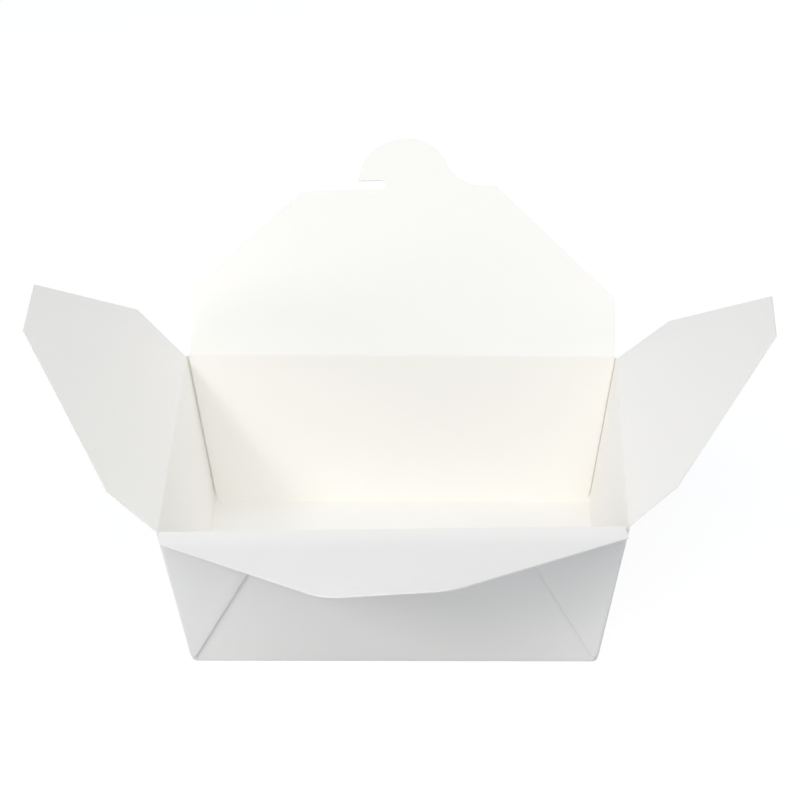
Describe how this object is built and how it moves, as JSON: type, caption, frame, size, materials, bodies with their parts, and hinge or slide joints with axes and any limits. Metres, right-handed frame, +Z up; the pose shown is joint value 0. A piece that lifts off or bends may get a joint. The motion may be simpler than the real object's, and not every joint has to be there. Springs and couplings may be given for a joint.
{
  "type": "folded paperboard takeaway food box",
  "caption": "Flared paperboard food tray with glued corner webs and hinged closing flaps; a hooked tab on the back flap fits a slit in the front flap.",
  "frame": {"origin": "centre of the underside of the base, on the surface that the box stands on", "axes": "+Z up; +X along the long side; +Y towards the back wall, whose flap carries the closing tab"},
  "size_m": [0.2799, 0.2783, 0.1254],
  "materials": {
    "paperboard": "white food-grade paperboard with a smooth, faintly satin coated face"
  },
  "bodies": {
    "tray": {"tray": "paperboard"},
    "back_flap": {"back_flap": "paperboard"},
    "front_flap": {"front_flap": "paperboard"},
    "left_flap": {"left_flap": "paperboard"},
    "right_flap": {"right_flap": "paperboard"}
  },
  "joints": [
    {"name": "back_flap_hinge", "type": "hinge", "parent": "tray", "child": "back_flap", "pos_m": [0, 0.06908, 0.06263], "axis": [1, 0, 0], "range_deg": [-62, 138]},
    {"name": "front_flap_hinge", "type": "hinge", "parent": "tray", "child": "front_flap", "pos_m": [0, -0.06899, 0.06202], "axis": [-1, 0, 0], "range_deg": [-31.5, 168.5]},
    {"name": "left_flap_hinge", "type": "hinge", "parent": "tray", "child": "left_flap", "pos_m": [-0.0854, 0, 0.06143], "axis": [0, 1, 0], "range_deg": [-68, 132]},
    {"name": "right_flap_hinge", "type": "hinge", "parent": "tray", "child": "right_flap", "pos_m": [0.0854, 0, 0.06143], "axis": [0, -1, 0], "range_deg": [-63.5, 136.5]}
  ]
}
